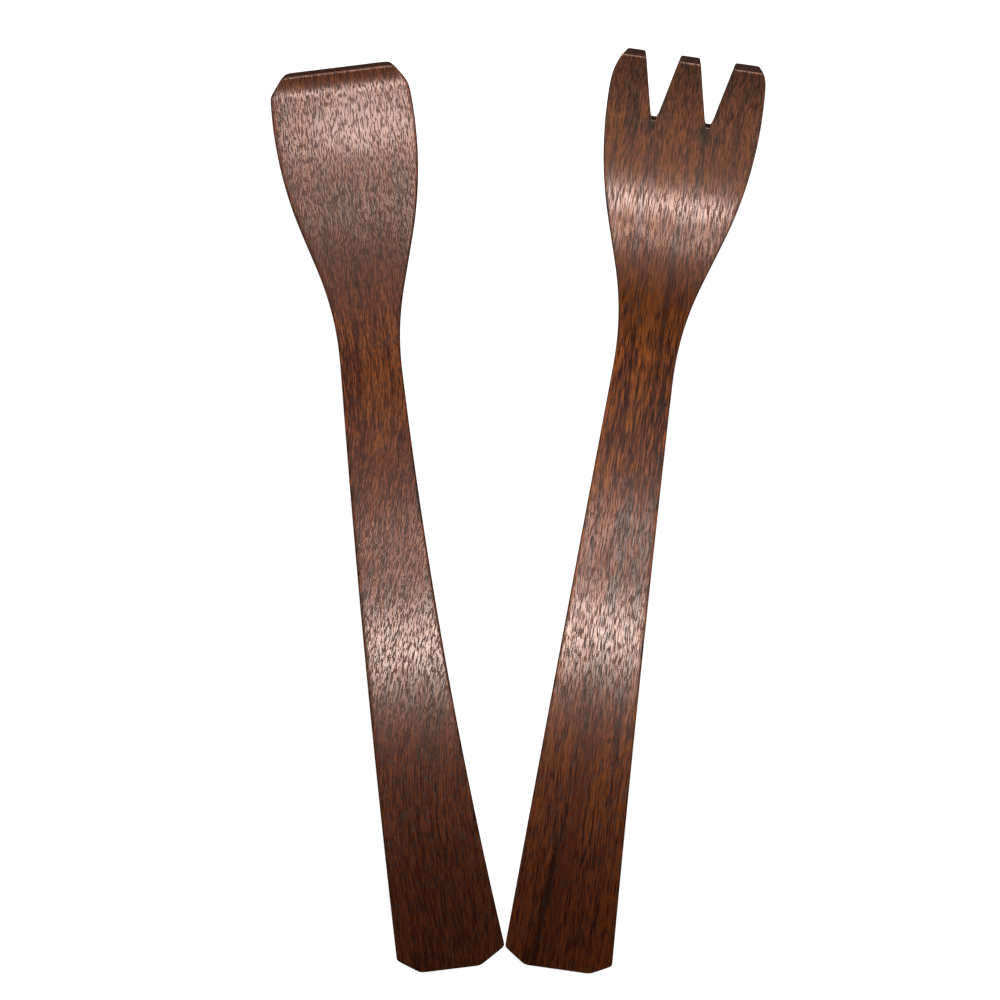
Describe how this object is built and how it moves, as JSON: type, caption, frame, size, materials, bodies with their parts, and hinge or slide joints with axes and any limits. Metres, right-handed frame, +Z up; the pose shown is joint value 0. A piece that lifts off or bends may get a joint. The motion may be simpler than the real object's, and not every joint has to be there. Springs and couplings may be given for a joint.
{
  "type": "pair of wooden salad servers",
  "caption": "Loose pair of dark wooden salad servers with arched handles: a square-ended paddle and a three-tined fork with a hollowed head, lying side by side.",
  "frame": {"origin": "middle of the pair's footprint, on the surface that both servers lie on", "axes": "+Z up, out of the hollowed heads; +Y from the butts towards the heads; +X from the paddle towards the fork"},
  "size_m": [0.1654, 0.3092, 0.0227],
  "materials": {
    "paddle_wood": "oiled satin",
    "fork_wood": "oiled satin"
  },
  "bodies": {
    "paddle": {"paddle_server": "paddle_wood"},
    "fork": {"fork_server": "fork_wood"}
  },
  "joints": [
    {"name": "fork_lift_off", "type": "slide", "parent": "paddle", "child": "fork", "axis": [0, 0, 1], "range_m": [0, 0.12]}
  ]
}
